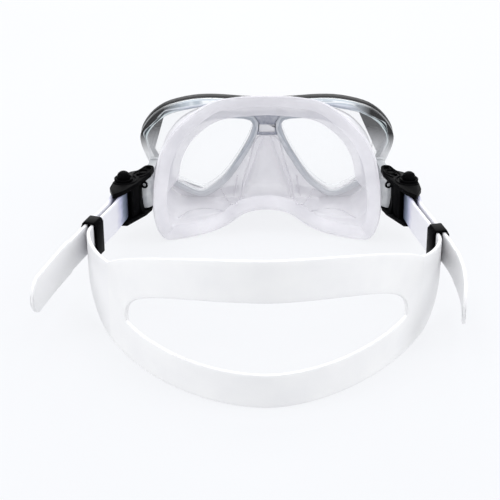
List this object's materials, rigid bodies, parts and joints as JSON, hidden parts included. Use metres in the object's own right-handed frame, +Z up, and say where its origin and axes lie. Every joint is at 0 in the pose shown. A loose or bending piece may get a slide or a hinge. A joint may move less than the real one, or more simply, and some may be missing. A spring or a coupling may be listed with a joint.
{
  "type": "diving mask",
  "caption": "Two-lens diving mask: stiff front frame, soft face skirt with nose pocket, side buckles on swivels and a split head strap with adjustable ends",
  "frame": {"origin": "on the floor under the nose pocket, on the mid-plane, in the plane where the skirt's flange meets the lens rims", "axes": "+X to the wearer's right, +Y the way the lenses look, +Z up"},
  "size_m": [0.2505, 0.2837, 0.0967],
  "materials": {
    "clear_silicone": "translucent satin silicone",
    "milky_silicone": "milky satin silicone",
    "clear_polycarbonate": "clear gloss",
    "smoke_plastic": "smoke grey gloss",
    "black_plastic": "black semi-gloss",
    "lens_glass": "polished",
    "stainless": "satin",
    "acetal": "satin dark grey"
  },
  "bodies": {
    "mask": {"skirt": "clear_silicone", "nose_pocket": "clear_silicone", "frame": "clear_polycarbonate", "lens_left": "lens_glass", "lens_right": "lens_glass", "lens_rim_left": "smoke_plastic", "lens_rim_right": "smoke_plastic", "bridge_clip": "smoke_plastic", "brow_trim_left": "black_plastic", "brow_trim_right": "black_plastic", "bracket_left": "clear_polycarbonate", "bracket_right": "clear_polycarbonate", "bracket_screws": "stainless", "head_strap": "milky_silicone"},
    "buckle_left": {"buckle_left": "black_plastic", "pivot_pin_left": "stainless", "button_spring_left": "stainless", "strap_end_left": "milky_silicone"},
    "roller_left": {"roller_left": "acetal"},
    "button_left": {"button_left": "black_plastic"},
    "lock_bar_left": {"lock_bar_left": "acetal"},
    "keeper_left": {"keeper_left": "black_plastic"},
    "buckle_right": {"buckle_right": "black_plastic", "pivot_pin_right": "stainless", "button_spring_right": "stainless", "strap_end_right": "milky_silicone"},
    "roller_right": {"roller_right": "acetal"},
    "button_right": {"button_right": "black_plastic"},
    "lock_bar_right": {"lock_bar_right": "acetal"},
    "keeper_right": {"keeper_right": "black_plastic"}
  },
  "joints": [
    {"name": "buckle_swivel_left", "type": "hinge", "parent": "mask", "child": "buckle_left", "pos_m": [-0.0815, -0.042, 0], "axis": [0, 0, -1], "range_deg": [-5, 18]},
    {"name": "roller_spin_left", "type": "hinge", "parent": "buckle_left", "child": "roller_left", "pos_m": [-0.09529, -0.06276, 0.02775], "axis": [0, 0, 1], "continuous": true},
    {"name": "button_press_left", "type": "slide", "parent": "buckle_left", "child": "button_left", "axis": [0, 0, -1], "range_m": [0, 0.0016], "stiffness_N_per_m": 600, "springref_m": -0.0005, "deforming": ["button_spring_left"]},
    {"name": "lock_bar_slide_left", "type": "slide", "parent": "buckle_left", "child": "lock_bar_left", "axis": [0.309, 0.9511, 0], "range_m": [0, 0.0005]},
    {"name": "keeper_slide_left", "type": "slide", "parent": "buckle_left", "child": "keeper_left", "axis": [0.309, 0.9511, 0], "range_m": [0, 0.022]},
    {"name": "buckle_swivel_right", "type": "hinge", "parent": "mask", "child": "buckle_right", "pos_m": [0.0815, -0.042, 0], "axis": [0, 0, 1], "range_deg": [-5, 18]},
    {"name": "roller_spin_right", "type": "hinge", "parent": "buckle_right", "child": "roller_right", "pos_m": [0.09362, -0.06377, 0.02775], "axis": [0, 0, 1], "continuous": true},
    {"name": "button_press_right", "type": "slide", "parent": "buckle_right", "child": "button_right", "axis": [0, 0, -1], "range_m": [0, 0.0016], "stiffness_N_per_m": 600, "springref_m": -0.0005, "deforming": ["button_spring_right"]},
    {"name": "lock_bar_slide_right", "type": "slide", "parent": "buckle_right", "child": "lock_bar_right", "axis": [-0.2334, 0.9724, 0], "range_m": [0, 0.0005]},
    {"name": "keeper_slide_right", "type": "slide", "parent": "buckle_right", "child": "keeper_right", "axis": [-0.2334, 0.9724, 0], "range_m": [0, 0.022]}
  ],
  "couplings": [
    {"joint": "lock_bar_slide_left", "follows": "button_press_left", "ratio": 0.3},
    {"joint": "lock_bar_slide_right", "follows": "button_press_right", "ratio": 0.3}
  ]
}
